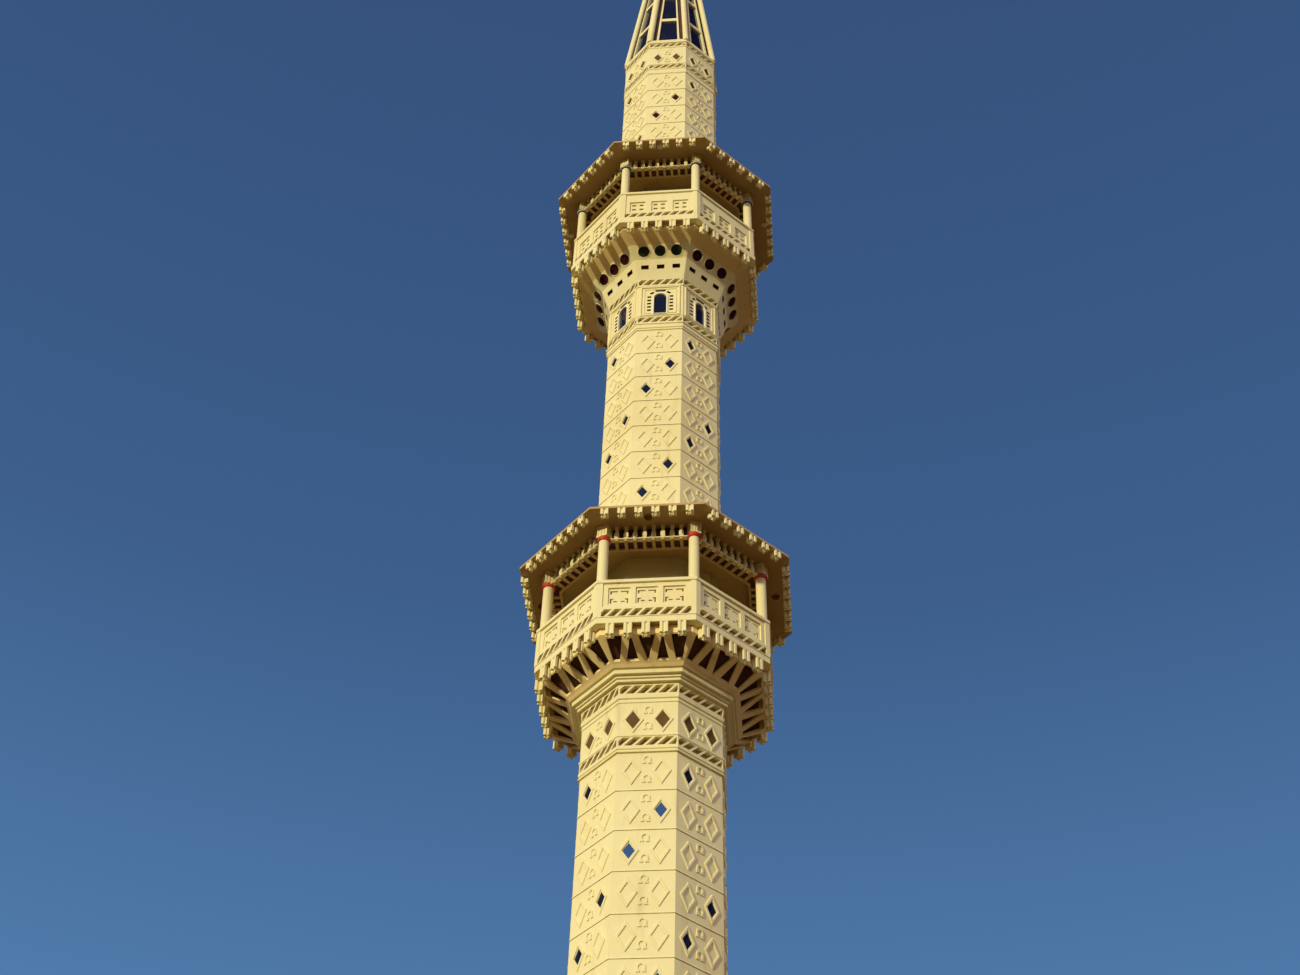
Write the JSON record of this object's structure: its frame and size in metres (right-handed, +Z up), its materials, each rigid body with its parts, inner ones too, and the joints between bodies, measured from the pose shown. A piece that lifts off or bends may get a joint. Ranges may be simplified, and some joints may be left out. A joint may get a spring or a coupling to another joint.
{
  "type": "minaret, 1:2 scale model",
  "caption": "Octagonal precast minaret with pierced shaft, two canopied galleries, arched window belt, glazed spire and crescent finial, as a 1:2 scale model.",
  "frame": {"origin": "middle of the flat underside of the base", "axes": "+Z up the tower's axis, -Y out of the front face, +X to the right as seen from the front"},
  "size_m": [3.126, 3.126, 35.2486],
  "materials": {
    "cream_paint": "cream masonry paint on precast concrete, matt",
    "shaded_concrete": "weathered brown-cream soffit paint, matt",
    "dark_lining": "dark red-brown lining, matt",
    "dark_glass": "dark navy reflective glass",
    "gilt_metal": "satin gilt sheet metal"
  },
  "bodies": {
    "root": {"base_wall": "cream_paint", "base_floor": "shaded_concrete", "base_cornice": "cream_paint", "lower_shaft_wall_1": "cream_paint", "lower_shaft_wall_2": "cream_paint", "lower_shaft_wall_3": "cream_paint", "lower_shaft_wall_4": "cream_paint", "lower_shaft_wall_5": "cream_paint", "lower_shaft_wall_6": "cream_paint", "lower_shaft_wall_7": "cream_paint", "lower_shaft_wall_8": "cream_paint", "lower_belt": "cream_paint", "lower_cornice": "cream_paint", "lower_corbel_lattice": "cream_paint", "lower_corbel_lining": "dark_lining", "upper_shaft_wall_1": "cream_paint", "upper_shaft_wall_2": "cream_paint", "upper_shaft_wall_3": "cream_paint", "upper_shaft_wall_4": "cream_paint", "upper_shaft_wall_5": "cream_paint", "upper_shaft_wall_6": "cream_paint", "upper_shaft_wall_7": "cream_paint", "upper_shaft_wall_8": "cream_paint", "lower_floor_slab": "cream_paint", "lower_parapet": "cream_paint", "lower_colonnade": "cream_paint", "lower_joists": "shaded_concrete", "lower_canopy": "shaded_concrete", "lower_slab_drops": "cream_paint", "lower_canopy_drops": "cream_paint", "window_belt_foot": "cream_paint", "window_belt_wall": "cream_paint", "window_belt_head": "cream_paint", "window_glass": "dark_glass", "upper_cove": "cream_paint", "cove_glass": "dark_glass", "upper_soffit": "cream_paint", "upper_floor_slab": "cream_paint", "upper_parapet": "cream_paint", "upper_colonnade": "cream_paint", "upper_joists": "shaded_concrete", "upper_canopy": "shaded_concrete", "upper_slab_drops": "cream_paint", "upper_canopy_drops": "cream_paint", "top_shaft": "cream_paint", "top_belt": "cream_paint", "spire_glass": "dark_glass", "spire_frame": "cream_paint", "finial": "gilt_metal"}
  },
  "joints": []
}
